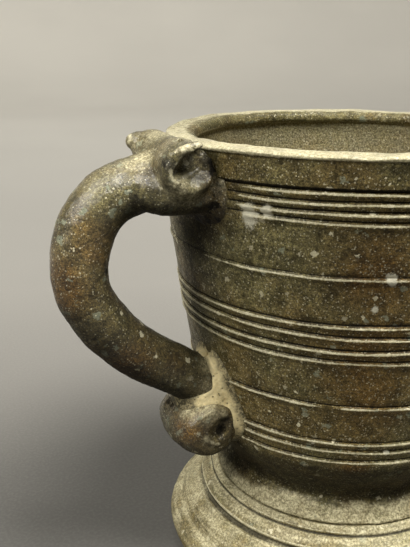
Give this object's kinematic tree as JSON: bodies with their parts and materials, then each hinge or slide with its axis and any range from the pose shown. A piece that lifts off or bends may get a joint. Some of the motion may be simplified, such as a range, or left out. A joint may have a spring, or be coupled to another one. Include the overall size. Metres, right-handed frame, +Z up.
{
  "type": "mortar",
  "caption": "Tapering cast bronze mortar bowl with raised lines, a waisted neck on a spreading foot, and one round side handle with scroll ends.",
  "frame": {"origin": "centre of the foot's flat underside, on the bowl's axis", "axes": "+Z up along the bowl's axis, handle towards -X, scroll and roll across the handle along Y"},
  "size_m": [0.1553, 0.1199, 0.136],
  "materials": {
    "bowl_bronze": "cast and turned bronze with a dark olive-brown patina, brighter on the raised lines",
    "handle_bronze": "cast bronze with a worn olive-brown patina and grey-green specks",
    "foot_bronze": "cast bronze under pale dust and mineral deposit",
    "filler": "rough tan braze and filler",
    "wedge_metal": "dull tan metal chip"
  },
  "bodies": {
    "root": {"vessel": "bowl_bronze", "foot": "foot_bronze", "foot_braze": "filler", "handle": "handle_bronze", "lower_scroll": "handle_bronze", "upper_filler": "filler", "lower_filler": "filler", "wedge": "wedge_metal"}
  },
  "joints": []
}
